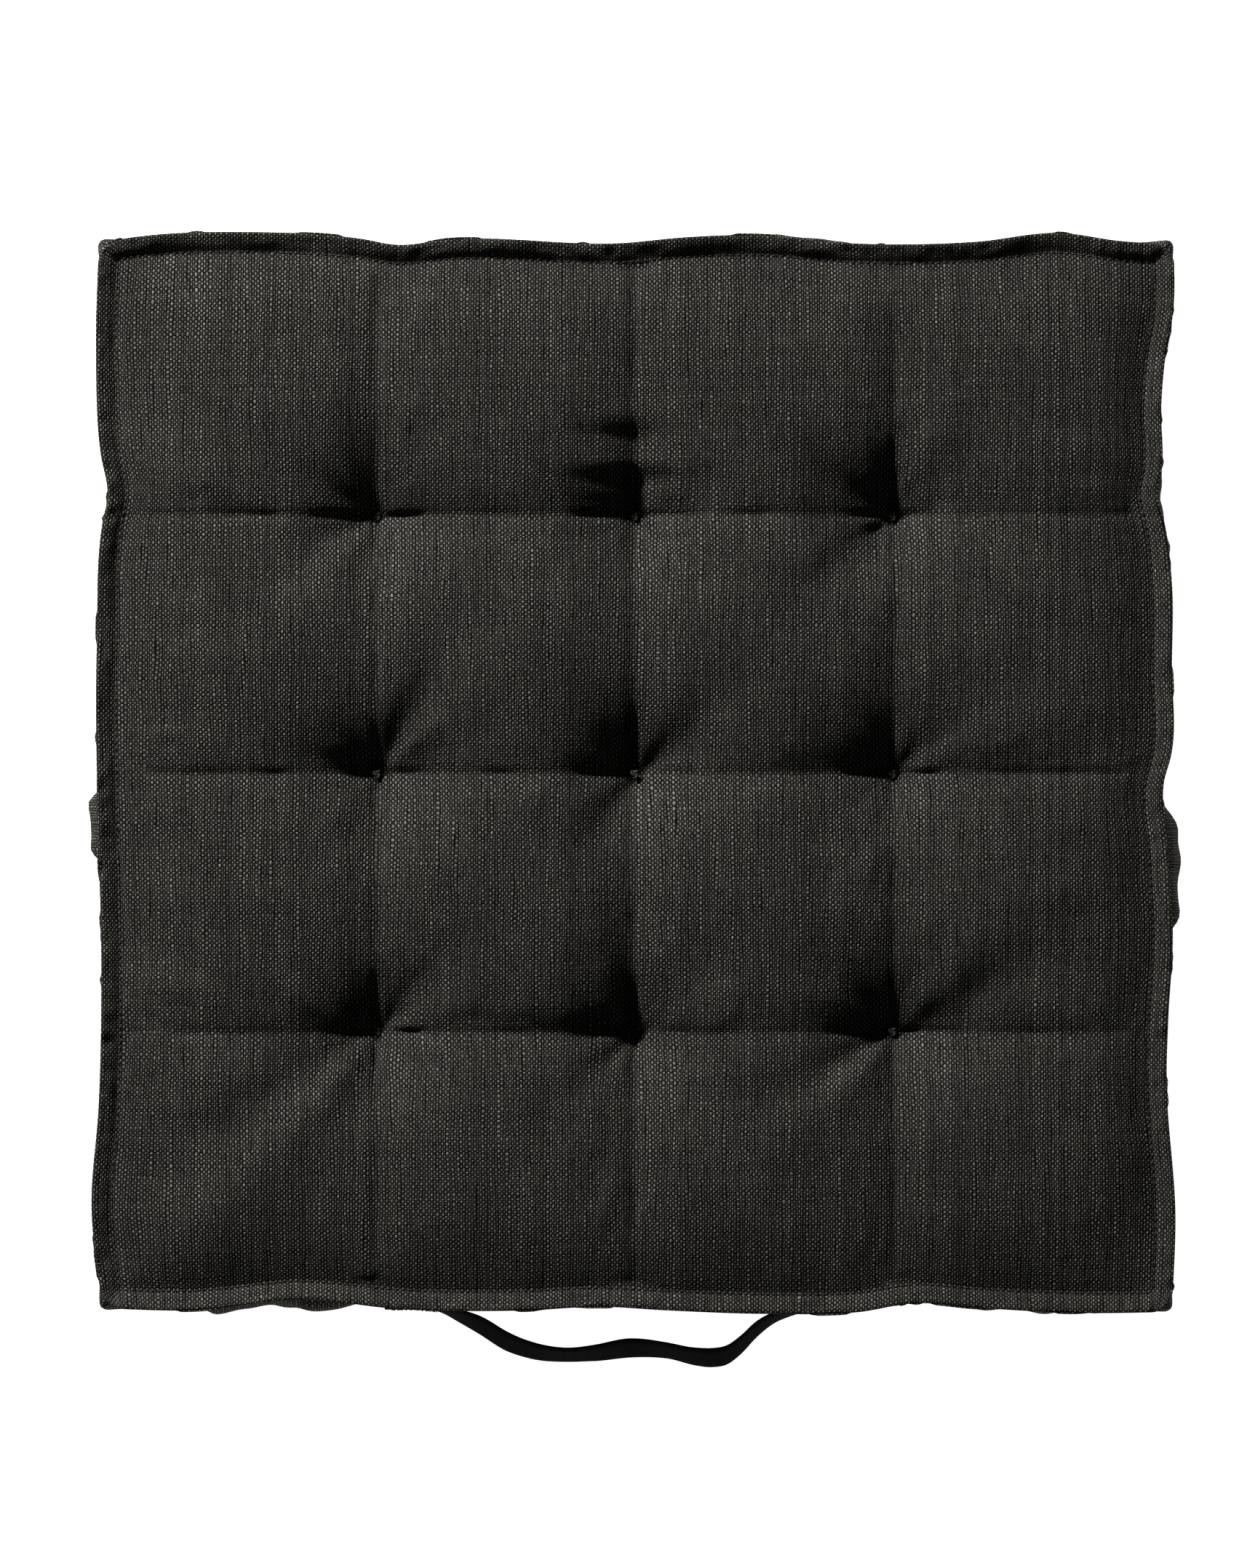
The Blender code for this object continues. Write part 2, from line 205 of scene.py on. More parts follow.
# a long fold's half width at its tuft, and how much it widens on the way out
FOLD_WIDTH = 0.0030
FOLD_SPREAD = 0.17


def quilt_relief(x, y, seed):
    """Height of a panel before it settles, under its crowns: a pit round each tuft that falls off
    as a stretched exponential, V-shaped valleys along the tuft lines, and a roll down to the
    groove, on slightly uneven ground."""
    inside = GROOVE - np.maximum(np.abs(x), np.abs(y))
    near_x, near_y = (np.abs(v[..., None] - TUFT_LINES).min(-1) for v in (x, y))
    relief = -CREASE_DEPTH * np.clip(1 - np.minimum(near_x, near_y) / CREASE_REACH, 0, 1) ** 2
    depth = START_LEVEL - SEAT_LEVEL - CREASE_DEPTH
    relief = relief - depth * np.exp(-((np.hypot(near_x, near_y) / PIT_WIDTH) ** PIT_POWER))
    roll = ease(inside / ROLL_REACH)
    uneven = 0.0011 * waves(x, y, 0.090, seed + 1) + 0.0006 * waves(x, y, 0.032, seed + 2)
    drop = (START_LEVEL - GROOVE_LEVEL) * (1 - roll)
    return (relief + uneven) * (0.35 + 0.65 * roll) * ease(inside / 0.006) - drop


def tuft_folds(x, y, seed):
    """Height of the folds that the ties draw into a settled panel: pleats all round each tuft,
    from cosines of the bearing that twist outwards, the long folds, and a sharp line along
    each row of tufts."""
    rng = np.random.default_rng(seed)
    inside = GROOVE - np.maximum(np.abs(x), np.abs(y))
    near_x, near_y = (np.abs(v[..., None] - TUFT_LINES).min(-1) for v in (x, y))
    # the lines are sharper between the ties, and weaker up and down than across
    height = -0.6 * CREASE_LINE * np.exp(-near_x / 0.0030) - CREASE_LINE * np.exp(-near_y / 0.0035)
    height = height * ease(inside / 0.09)
    for row, tuft_y in enumerate(TUFT_LINES):
        for column, tuft_x in enumerate(TUFT_LINES):
            away = np.hypot(x - tuft_x, y - tuft_y)
            turn = np.arctan2(y - tuft_y, x - tuft_x)
            # how many pleats go round the tuft, and their share of the height
            for count, share in ((2, 0.8), (3, 1.0), (5, 0.9), (7, 0.6), (9, 0.3)):
                phase, twist = rng.uniform(0, 2 * np.pi), rng.uniform(-14, 14)
                pleat = rng.uniform(0.5, 1) * share * np.cos(count * turn + phase + twist * away)
                height = height + PLEAT_HEIGHT * pleat * bump_along(away, PLEAT_REACH)
            for fold_column, fold_row, heading, reach, fold_height in FOLDS:
                if (fold_column, fold_row) == (column, row):
                    heading = np.radians(heading)
                    across = away * np.sin(turn - heading)
                    ahead = np.clip(np.cos(turn - heading), 0, 1)
                    width = FOLD_WIDTH + FOLD_SPREAD * away
                    shape = np.exp(-((across / width) ** 2)) * ahead
                    height = height + fold_height / 1e3 * shape * bump_along(away, reach / 2.4e3)
    for middle_x, middle_y, length, width, fold_height in BARS:
        along = np.exp(-(((x * 1e3 - middle_x) / length) ** 2))
        height = height + fold_height / 1e3 * along * np.exp(-(((y * 1e3 - middle_y) / width) ** 2))
    return height * ease(inside / 0.02)


def bump_along(away, peak):
    """0 at the start, 1 at the peak, and fading beyond it: (r/p) times e to the (1 - r/p)."""
    share = away / peak
    return share * np.exp(1 - share)


def grid_faces(rows, columns, loop=False):
    """Quads of a grid of points, row by row, closed across the columns if it is a loop."""
    index = np.arange(rows * columns).reshape(rows, columns)
    if loop:
        index = np.concatenate([index, index[:, :1]], 1)
    corners = (index[:-1, :-1], index[:-1, 1:], index[1:, 1:], index[1:, :-1])
    return np.stack(corners, -1).reshape(-1, 4)


def tube_faces(rings, around):
    """Quads of a tube of rings, whose ends are closed by quads between facing points."""
    front = np.arange(around // 2)
    back = around - 1 - front
    cap = np.stack([front[:-1], front[1:], back[1:], back[:-1]], -1)
    sides = grid_faces(rings, around, loop=True)
    return np.concatenate([sides, cap[:, ::-1], cap + (rings - 1) * around])


def settle(shape, cut, held, pressure, mass, frames=20):
    """Lets a sheet of cloth settle: it starts in one shape, was cut to another, is held where its
    weights say and is pushed out by the filling. Returns its points."""
    rows, columns = shape.shape[:2]
    mesh = bpy.data.meshes.new("settling")
    mesh.from_pydata(shape.reshape(-1, 3).tolist(), [], grid_faces(rows, columns).tolist())
    sheet = bpy.data.objects.new("settling", mesh)
    bpy.context.scene.collection.objects.link(sheet)
    sheet.shape_key_add(name="start")
    flat = sheet.shape_key_add(name="cut")
    flat.data.foreach_set("co", cut.ravel())
    flat.value = 0
    group = sheet.vertex_groups.new(name="held")
    for weight in np.unique(held[held > 0]):
        group.add(np.flatnonzero(held.ravel() == weight).tolist(), float(weight), "REPLACE")
    cloth = sheet.modifiers.new("cloth", "CLOTH")
    cloth.collision_settings.use_collision = False
    facts = cloth.settings
    facts.quality = 5
    facts.mass = mass
    facts.tension_stiffness = 30
    facts.compression_stiffness = 30
    facts.shear_stiffness = 5
    facts.bending_stiffness = 0.05
    facts.air_damping = 1
    facts.use_pressure = True
    facts.uniform_pressure_force = pressure
    facts.vertex_group_mass = "held"
    facts.rest_shape_key = flat
    facts.effector_weights.gravity = 0
    for number in range(1, frames + 1):
        bpy.context.scene.frame_set(number)
    graph = bpy.context.evaluated_depsgraph_get()
    settled = bpy.data.meshes.new_from_object(sheet.evaluated_get(graph))
    points = np.empty(len(settled.vertices) * 3)
    settled.vertices.foreach_get("co", points)
    bpy.data.objects.remove(sheet, do_unlink=True)
    bpy.data.meshes.remove(settled)
    bpy.context.scene.frame_set(1)
    return points.reshape(rows, columns, 3)


def panel_field(seed):
    """The quilted field inside the groove, settled on even cells, then folded on cells that
    are closer together near the tufts: rows of points about the cushion's middle."""
    cells = 2 * round(GROOVE * CELLS_PER_PITCH / PITCH)
    line = np.linspace(-GROOVE, GROOVE, cells + 1)
    x, y = np.meshgrid(line, line)
    shape = np.stack([x, y, START_LEVEL + quilt_relief(x, y, seed)], -1)
    cut = np.stack([x * SLACK, y * SLACK, 0 * x], -1)
    to_line = [np.abs(v[..., None] - TUFT_LINES).min(-1) for v in (x, y)]
    cell = PITCH / CELLS_PER_PITCH
    held = np.where(np.minimum(*to_line) < cell / 2, 0.3, 0)
    held[np.hypot(*to_line) < 1.2 * cell] = 1
    held[GROOVE - np.maximum(np.abs(x), np.abs(y)) < cell / 2] = 1
    settled = settle(shape, cut, held, PRESSURE, mass=0.02)
    # even cells t, in pitches, become t less 0.35 sin(2 pi t) / 2 pi: closer near the tufts
    pitches = round(2 * GROOVE / PITCH)
    t = np.linspace(-pitches / 2, pitches / 2, pitches * FINE_CELLS + 1)
    fine = (t - 0.35 * np.sin(2 * np.pi * t) / (2 * np.pi)) * 2 * GROOVE / pitches
    settled = smooth_line(fine, line, settled).swapaxes(0, 1)
    settled = smooth_line(fine, line, settled).swapaxes(0, 1)
    x, y = np.meshgrid(fine, fine)
    # flatter pillows with steeper sides: the share of the full depth is raised to a power
    full = settled[..., 2].max() - SEAT_LEVEL
    depth = (settled[..., 2].max() - settled[..., 2]) / full
    fuller = CROWN_LEVEL - (CROWN_LEVEL - SEAT_LEVEL + SINK) * depth**FULLNESS
    inside = ease((GROOVE - np.maximum(np.abs(x), np.abs(y))) / 0.03)
    settled[..., 2] += (fuller - settled[..., 2]) * inside + tuft_folds(x, y, seed)
    return fine, settled


def with_lip(line, field):
    """Adds the lip's rows round a field: from the groove it climbs outwards to the crest, and
    turns down over it in a quarter circle. Returns where the points lie flat, the points, and
    their places on the cloth, measured along the section."""
    slope = np.linspace(0, 1, 7)[1:]
    turn = np.linspace(0, np.pi / 2, 5)[1:]
    width = CREST - GROOVE - LIP_TURN
    out = np.concatenate([slope * width, width + LIP_TURN * np.sin(turn)])
    climb = LIP_RISE * (slope + 0.12 * np.sin(np.pi * slope))
    rise = np.concatenate([climb, LIP_RISE - LIP_TURN * (1 - np.cos(turn))])
    count = len(out)
    places = np.concatenate([line[0] - out[::-1], line, line[-1] + out])
    flat_x, flat_y = np.meshgrid(places, places)
    along = np.cumsum(np.hypot(np.diff(out, prepend=0), np.diff(rise, prepend=0)))
    unrolled = np.concatenate([line[0] - along[::-1], line, line[-1] + along])
    uv = np.stack(np.meshgrid(unrolled, unrolled), -1)
    rings = np.concatenate([np.arange(count, 0, -1), np.zeros(len(line), int), np.arange(1, count + 1)])
    ring = np.maximum(*np.meshgrid(rings, rings))
    level = GROOVE_LEVEL + np.concatenate([[0], rise])[ring]
    points = np.stack([flat_x, flat_y, level], -1)
    points[count:-count, count:-count] = field
    # the lip's cloth puckers a little between stitches
    pucker = 0.0004 * waves(flat_x, flat_y, 0.011, 5) + 0.0007 * waves(flat_x, flat_y, 0.045, 6)
    points[..., 2] += np.where((ring > 0) & (ring <= 9), pucker * ease(ring / 4), 0)
    return flat_x, flat_y, points, uv


def hex_colour(text):
    """An sRGB hex colour as linear red, green, blue and alpha."""
    share = np.array([int(text[i : i + 2], 16) for i in (1, 3, 5)]) / 255
    linear = np.where(share <= 0.04045, share / 12.92, ((share + 0.055) / 1.055) ** 2.4)
    return (*linear.tolist(), 1.0)


def add(tree, kind, inputs=(), **settings):
    """Adds a node, sets its properties, and sets or links its inputs, given in order or by name."""
    made = tree.nodes.new("ShaderNode" + kind)
    for name, value in settings.items():
        setattr(made, name, value)
    for name, value in dict(inputs if isinstance(inputs, dict) else enumerate(inputs)).items():
        if isinstance(value, bpy.types.Node):
            value = value.outputs[0]
        if isinstance(value, bpy.types.NodeSocket):
            tree.links.new(value, made.inputs[name])
        else:
            made.inputs[name].default_value = value
    return made


def new_material(name):
    """An empty node material, and its tree."""
    made = bpy.data.materials.new(name)
    made.use_nodes = True
    made.node_tree.nodes.clear()
    return made, made.node_tree


def woven_cloth(name, thread, gap, warp, weft, slub=1.0):
    """Plain weave, dyed in the yarn and unfinished: matte, with warp threads that run thick and
    thin and make uneven streaks, and deep pinholes between the threads. Each thread's colour is
    painted darker towards its edges, down to a near-black painted shade in the pinholes."""
    made, tree = new_material(name)
    cloth = add(tree, "TexCoord").outputs["UV"]
    axes = add(tree, "SeparateXYZ", {0: cloth}).outputs
    numbers, swells = [], []
    for axis, pitch, across in ((0, warp, (1, 0.11, 1)), (1, weft, (0.18, 1, 1))):
        # Thread numbers across the cloth, drifting by up to a thread where the yarn is uneven. The
        # drift's noise is stretched along the thread.
        scale = [share * 0.30 / pitch for share in across]
        stretched = add(tree, "Mapping", {"Vector": cloth, "Scale": scale})
        drift = add(tree, "TexNoise", {"Vector": stretched, "Scale": 1, "Detail": 3})
        drift = add(tree, "Math", (drift, 2.2 * slub), operation="MULTIPLY")
        number = add(tree, "Math", (axes[axis], 1 / pitch, drift), operation="MULTIPLY_ADD")
        turn = add(tree, "Math", (number, np.pi), operation="MULTIPLY")
        numbers.append(number)
        swells.append(add(tree, "Math", (turn,), operation="SINE"))
    # A thread's height is its round section, the sine's size to a power, times a level that is
    # higher where the thread goes over the other one.
    over = add(tree, "Math", swells, operation="MULTIPLY")
    heights, tones = [], []
    for axis, sign, level, roundness in ((0, 0.42, 0.58, 0.8), (1, -0.50, 0.42, 0.9)):
        size = add(tree, "Math", (swells[axis],), operation="ABSOLUTE")
        rounded = add(tree, "Math", (size, roundness), operation="POWER")
        lifted = add(tree, "Math", (over, sign, level), operation="MULTIPLY_ADD")
        heights.append(add(tree, "Math", (rounded, lifted), operation="MULTIPLY"))
        # each thread's own tone, and the slubs along it
        number = add(tree, "Math", (numbers[axis],), operation="FLOOR")
        own = add(tree, "TexWhiteNoise", {"W": number}, noise_dimensions="1D")
        own = add(tree, "Math", (own, 0.9 - 0.4 * axis, 0.15), operation="MULTIPLY_ADD")
        along = add(tree, "Math", (axes[1 - axis], 110), operation="MULTIPLY")
        at = add(tree, "CombineXYZ", (number, along, 7 * axis))
        slubs = add(tree, "TexNoise", {"Vector": at, "Scale": 1, "Detail": 2})
        slubs = add(tree, "Math", (slubs, 1.3, own), operation="MULTIPLY_ADD")
        tones.append(add(tree, "Math", (slubs, 1.0 - 0.74 * axis), operation="MULTIPLY"))
    height = add(tree, "Math", heights, operation="MAXIMUM")
    on_top = add(tree, "MapRange", {"Value": over, "From Min": -0.2, "From Max": 0.2})
    own_tone = add(tree, "Mix", {0: on_top, 2: tones[1], 3: tones[0]})
    # each crossing stands a little higher or lower than the next
    crossing = [add(tree, "Math", (number,), operation="FLOOR") for number in numbers]
    crossing = add(tree, "CombineXYZ", crossing)
    uneven = add(tree, "TexWhiteNoise", {"Vector": crossing}, noise_dimensions="2D")
    uneven = add(tree, "Math", (uneven, 0.5, 0.75), operation="MULTIPLY_ADD")
    own_tone = add(tree, "Math", (own_tone, uneven), operation="MULTIPLY")
    patch = add(tree, "TexNoise", {"Vector": cloth, "Scale": 22, "Detail": 4, "Roughness": 0.6})
    patch = add(tree, "Math", (patch, 0.9, 0.55), operation="MULTIPLY_ADD")
    own_tone = add(tree, "Math", (own_tone, patch), operation="MULTIPLY")
    # painted shade: the colour falls from the thread colour to the near-black pinhole colour where a
    # thread dips down between the others
    thread_shade = {"Value": height, "From Min": 0.26, "From Max": 0.74}
    thread_shade = add(tree, "MapRange", thread_shade, interpolation_type="SMOOTHSTEP")
    lit = add(tree, "Math", (thread_shade, own_tone), operation="MULTIPLY")
    ends = {0: lit, 6: hex_colour(gap), 7: hex_colour(thread)}
    colour = add(tree, "Mix", ends, data_type="RGBA", clamp_factor=False)
    relief = add(tree, "Math", (own_tone, 0.4, 0.6), operation="MULTIPLY_ADD")
    relief = add(tree, "Math", (height, relief), operation="MULTIPLY")
    bump = add(tree, "Bump", {"Strength": 0.9, "Distance": 0.0005, "Height": relief})
    looks = {"Base Color": colour.outputs[2], "Roughness": 0.95, "Specular IOR Level": 0.02}
    surface = add(tree, "BsdfPrincipled", looks | {"Normal": bump})
    add(tree, "OutputMaterial", {"Surface": surface})
    return made


def make_piece(name, points, faces, material, uv=None, body="cushion"):
    """A smooth-shaded piece from points about the cushion's middle. uv is each point's place on
    the flat cloth."""
    mesh = bpy.data.meshes.new(name)
    placed = np.asarray(points, float).reshape(-1, 3) + np.array(MIDDLE)
    mesh.from_pydata(placed.tolist(), [], np.asarray(faces).tolist())
    mesh.polygons.foreach_set("use_smooth", np.ones(len(mesh.polygons), bool))
    if uv is not None:
        corners = np.empty(len(mesh.loops), np.int32)
        mesh.loops.foreach_get("vertex_index", corners)
        layer = mesh.uv_layers.new(name="cloth")
        layer.data.foreach_set("uv", np.asarray(uv, np.float32).reshape(-1, 2)[corners].ravel())
    mesh.materials.append(material)
    mesh.validate()
    piece = bpy.data.objects.new(name, mesh)
    bpy.context.scene.collection.objects.link(piece)
    if body:
        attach(piece, body)
    return piece


def thicken(piece, thickness):
    """Gives a sheet its thickness, inwards."""
    wall = piece.modifiers.new("wall", "SOLIDIFY")
    wall.thickness = thickness
    wall.offset = -1


# charcoal slub linen: threads a millimetre and a half apart, with near-black painted shade between them
linen = woven_cloth("charcoal_slub_linen", thread="#52504b", gap="#020202", warp=0.0015, weft=0.0014)

line, field = panel_field(seed=11)
flat_x, flat_y, top, uv = with_lip(line, field)


def place_panel(points):
    """Rounds the panel's corners and lets its edges wander."""
    shift_x, shift_y = wander(flat_x, flat_y)
    x, y = round_corner(flat_x, flat_y, CREST, LIP_CORNER)
    settled = points.copy()
    settled[..., 0] += x - flat_x + shift_x
    settled[..., 1] += y - flat_y + shift_y
    return settled


top_points = place_panel(top)
rows, columns = top_points.shape[:2]
top_panel = make_piece("top_panel_cloth", top_points, grid_faces(rows, columns), linen, uv)
thicken(top_panel, CLOTH)
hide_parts("top_panel")

# The lower panel is the same piece turned over, and its pillows are pressed flat on the floor:
# a point's height h over it becomes half of h plus the root of (h squared + 0.6 mm squared).
under_points = place_panel(top[::-1, ::-1] * (-1, -1, 1)) * (1, 1, -1)
floor_level = -HALF_HEIGHT + 0.0002
pressed = under_points[..., 2] - floor_level
under_points[..., 2] = floor_level + 0.5 * (pressed + np.sqrt(pressed**2 + 0.0006**2)) - 0.0001
faces = grid_faces(rows, columns)[:, ::-1]
bottom_panel = make_piece("bottom_panel_cloth", under_points, faces, linen, uv)
thicken(bottom_panel, CLOTH)
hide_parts("bottom_panel")

# --------------------------------------------------------------------------------------------
# Boxing: four strips of the same linen round the sides, seamed at the corners, whose edges
# are folded out under the panels' lips and sewn to them.
# --------------------------------------------------------------------------------------------

# the lip's two layers, and the inset of the lower one's rim
LIP_THICKNESS = 0.0028
RIM_INSET = 0.0006
LIP_FOOT = GROOVE + 0.0022
FOOT_DROP = 0.0035
CORNER_OUT = 0.3029
CORNER_REACH = 0.030
WALL_CORNER = 0.0045
# puckers along the seams, and the band that they lie in: its middle under the lip, and its width
SEAM_PUCKER = 0.0005
PUCKER_PITCH = 0.0135
PUCKER_DOWN = 0.006
PUCKER_BAND = 0.008
# how far the middle of each strip stands out, and its broad bulges: place, half width, height in mm
STRIPS = {
    "right": (0.2975, [(-53, 46, 9.5), (150, 60, 2.5), (-235, 45, 3.0)]),
    "back": (0.2965, [(-95, 40, 6.0), (190, 45, 4.5), (20, 60, 1.5)]),
    "left": (0.2970, [(29, 26, 10.0), (-160, 60, 1.5)]),
    "front": (0.2995, [(-200, 50, 3.5), (205, 45, 3.5)]),
}
TURNS = {"right": 0, "back": 1, "left": 2, "front": 3}


def strip_profile(wall_out):
    """Distance out and height of a strip's section from the upper crest down to the lower one,
    each at even steps: the fold under the lip, the wall's bulge, and the lower fold."""
    turn = np.linspace(np.pi / 2, 0, 5)
    rim_out = CREST - RIM_INSET - LIP_TURN * (1 - np.sin(turn))
    rim_level = GROOVE_LEVEL + LIP_RISE - LIP_THICKNESS + LIP_TURN * (1 - np.cos(turn))
    rim = np.stack([rim_out, rim_level], -1)
    share = np.linspace(0, 1, 8)[1:, None]
    foot = np.array([LIP_FOOT, GROOVE_LEVEL - FOOT_DROP])
    fold = rim[-1] + (foot - rim[-1]) * share
    fall = np.linspace(0, np.pi / 2, 13)[1:]
    bulge_out = foot[0] + (wall_out - foot[0]) * np.sin(fall) ** 0.8
    bulge = np.stack([bulge_out, foot[1] * np.cos(fall) ** 1.1], -1)
    half = np.concatenate([rim, fold, bulge])
    return np.concatenate([half, half[-2::-1] * (1, -1)])


def make_strip(name):
    """One strip: its section carried from corner to corner along its side."""
    wall_out, bulges = STRIPS[name]
    section = strip_profile(wall_out)
    across = np.linspace(-1, 1, 181)
    across = np.sign(across) * (1 - (1 - np.abs(across)) ** 1.15)
    out, level = (section[:, None, i] + 0 * across for i in (0, 1))
    place = out * across
    # 0 at the lips, 1 on the wall
    wall = ease((1 - np.abs(level) / GROOVE_LEVEL) / 0.35)
    seed = 40 + TURNS[name]
    to_corner = ease((out - np.abs(place)) / 0.03)
    push = 0.0009 * waves(place, level * 0.5, 0.060, seed)
    push += 0.0005 * waves(place, level * 0.4, 0.022, seed + 9)
    for middle, half_width, height in bulges:
        # a flat top over the middle four ninths of its width
        near = 1.8 * (1 - np.abs(place - middle / 1e3) / (half_width / 1e3))
        push += height / 1e3 * ease(near) * np.cos(level / 0.036)
    phase = waves(place, 0, 0.05, seed + 5)
    pucker = SEAM_PUCKER * np.cos(2 * np.pi * place / PUCKER_PITCH + phase)
    near_seam = np.exp(-(((np.abs(level) - GROOVE_LEVEL + PUCKER_DOWN) / PUCKER_BAND) ** 2))
    ear = (CORNER_OUT - wall_out) * np.exp(-(((out - np.abs(place)) / CORNER_REACH) ** 2))
    push = (push + pucker * near_seam) * to_corner * wall + ear * wall
    place = place * (out + push) / out
    out = out + push
    # the lips' own wander, fading down the wall, and their rounder corners
    spin = [(1, 0, 0, 1), (0, -1, 1, 0), (-1, 0, 0, -1), (0, 1, -1, 0)][TURNS[name]]
    radius = LIP_CORNER + (WALL_CORNER - LIP_CORNER) * wall
    x, y = round_corner(out, place, np.abs(out), radius)
    x, y = spin[0] * x + spin[1] * y, spin[2] * x + spin[3] * y
    shift_x, shift_y = wander(x, y)
    lip_share = 1 - 0.55 * wall
    points = np.stack([x + shift_x * lip_share, y + shift_y * lip_share, level], -1)
    length = np.concatenate([[0], np.cumsum(np.hypot(*np.diff(section, axis=0).T))])
    uv = np.stack([place, length[:, None] + 0 * place], -1)
    return points, uv


for name in STRIPS:
    points, strip_uv = make_strip(name)
    faces = grid_faces(*points.shape[:2])[:, ::-1]
    strip = make_piece("boxing_cloth_" + name, points, faces, linen, strip_uv)
    thicken(strip, CLOTH)
    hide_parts("boxing_" + name)

# --------------------------------------------------------------------------------------------
# Filling: a block of polyester fibre, a little fuller than the cover, that the ties pull in.
# --------------------------------------------------------------------------------------------

# polyester fibre: white, matte and tufty
fibre, tree = new_material("polyester_fibre")
own_place = add(tree, "TexCoord").outputs["Object"]
strands = add(tree, "TexNoise", {"Vector": own_place, "Scale": 900, "Detail": 4})
tufty = add(tree, "Bump", {"Strength": 0.6, "Distance": 0.001, "Height": strands})
looks = {"Base Color": hex_colour("#e4e2da"), "Roughness": 0.9, "Normal": tufty}
add(tree, "OutputMaterial", {"Surface": add(tree, "BsdfPrincipled", looks)})

THIN_BY = 4
CLEARANCE = 0.0022
lips = (rows - len(line)) // 2
inner = slice(lips + 2, rows - lips - 2, THIN_BY)


def lowest_near(level):
    """Each point's lowest level within one thinned cell of it."""
    steps = range(-THIN_BY, THIN_BY + 1)
    level = np.min([np.roll(level, step, 0) for step in steps], 0)
    return np.min([np.roll(level, step, 1) for step in steps], 0)


upper = top_points[inner, inner].copy()
upper[..., 2] = lowest_near(top_points[..., 2])[inner, inner] - CLEARANCE
lower = under_points[inner, inner].copy()
lower[..., 2] = -lowest_near(-under_points[..., 2])[inner, inner] + CLEARANCE
n = upper.shape[0]
# the points round the edge, in order
bottom_row, right_column = np.arange(n), np.arange(1, n) * n + n - 1
top_row, left_column = n * n - 1 - np.arange(1, n), np.arange(n - 2, 0, -1) * n
ring = np.concatenate([bottom_row, right_column, top_row, left_column])
upper, lower = upper.reshape(-1, 3), lower.reshape(-1, 3)
edge = upper[ring]
outward = edge[:, :2] / np.abs(edge[:, :2]).max(1)[:, None]
# the side's three rows: a share of the groove's level, and the distance out
sides = []
for level, out in ((0.5, 0.2915), (0, 0.2935), (-0.5, 0.2915)):
    sides.append(np.column_stack([outward * out, np.full(len(ring), level * GROOVE_LEVEL)]))
layers = [ring, *(2 * n * n + i * len(ring) + np.arange(len(ring)) for i in range(3)), n * n + ring]
points = np.concatenate([upper, lower, *sides])
faces = [grid_faces(n, n), n * n + grid_faces(n, n)[:, ::-1]]
for high, low in zip(layers, layers[1:]):
    faces.append(np.stack([high, low, np.roll(low, -1), np.roll(high, -1)], -1))
filling = make_piece("filling_fibre", points, np.concatenate(faces), fibre)
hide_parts("filling")

# --------------------------------------------------------------------------------------------
# Edge seams: waxed thread that holds each panel's lip to the boxing, in stitches 4 mm apart at
# the lip's foot.
# --------------------------------------------------------------------------------------------

# waxed polyester thread: nearly black, with a dull shine
thread, tree = new_material("waxed_thread")
place_on_piece = add(tree, "TexCoord").outputs["UV"]
looks = {"Vector": place_on_piece, "Scale": 900, "Distortion": 1.5}
twist = add(tree, "TexWave", looks, bands_direction="DIAGONAL")
ply = add(tree, "Bump", {"Strength": 0.5, "Distance": 0.0001, "Height": twist})
looks = {"Base Color": hex_colour("#1c1b19"), "Roughness": 0.55, "Normal": ply}
add(tree, "OutputMaterial", {"Surface": add(tree, "BsdfPrincipled", looks)})

THREAD = 0.0003
AROUND = 6
ALONG = 6
STITCH_PITCH = 0.0040
STITCH_GAP = 0.0007
# the seam's place in the groove: in from its line, and up from its level
SEAM_IN = 0.0002
SEAM_UP = 0.0004


def stitch_run(starts, ends, lift):
    """Points and faces of a row of stitches, each a small tube bowed along half a sine from its
    start to its end, thinning where it dips into the cloth. lift is a unit vector out of the
    cloth, at each stitch."""
    sides = np.cross(ends - starts, lift)
    sides /= np.linalg.norm(sides, axis=1)[:, None]
    t = np.linspace(0, 1, ALONG)[:, None, None]
    turn = np.linspace(0, 2 * np.pi, AROUND, endpoint=False)[None, :, None]
    girth = THREAD * (0.25 + 0.75 * np.sin(np.pi * np.clip(t, 0.02, 0.98)) ** 0.5)
    bow = THREAD * (2.2 * np.sin(np.pi * t) - 0.9)
    starts, ends, sides, lift = (v[:, None, None, :] for v in (starts, ends, sides, lift))
    points = starts + (ends - starts) * t + lift * bow
    points = points + girth * (np.cos(turn) * sides + np.sin(turn) * lift)
    tube = tube_faces(ALONG, AROUND)[:, ::-1]
    offset = np.arange(len(points))[:, None, None] * ALONG * AROUND
    return points.reshape(-1, 3), (tube + offset).reshape(-1, 4)


def seam_round(level_sign):
    """The stitches of one panel's seam, side by side along its groove."""
    count = int(2 * GROOVE / STITCH_PITCH)
    starts = (np.arange(count) - count / 2) * STITCH_PITCH + STITCH_GAP / 2
    seam_out = GROOVE - SEAM_IN
    parts = []
    for turn_x, turn_y in ((1, 0), (0, 1), (-1, 0), (0, -1)):
        ends_at = []
        for along in (starts, starts + STITCH_PITCH - STITCH_GAP):
            x = seam_out * turn_x - along * turn_y
            y = seam_out * turn_y + along * turn_x
            shift_x, shift_y = wander(x, y)
            x, y = round_corner(x, y, CREST, LIP_CORNER)
            level = level_sign * (GROOVE_LEVEL + SEAM_UP) + 0 * x
            ends_at.append(np.stack([x + shift_x, y + shift_y, level], -1))
        lift = np.array([0.0, 0.0, level_sign]) + 0 * ends_at[0]
        parts.append(stitch_run(*ends_at, lift))
    offsets = np.cumsum([0] + [len(p) for p, _ in parts[:-1]])
    points = np.concatenate([p for p, _ in parts])
    return points, np.concatenate([f + o for (_, f), o in zip(parts, offsets)])


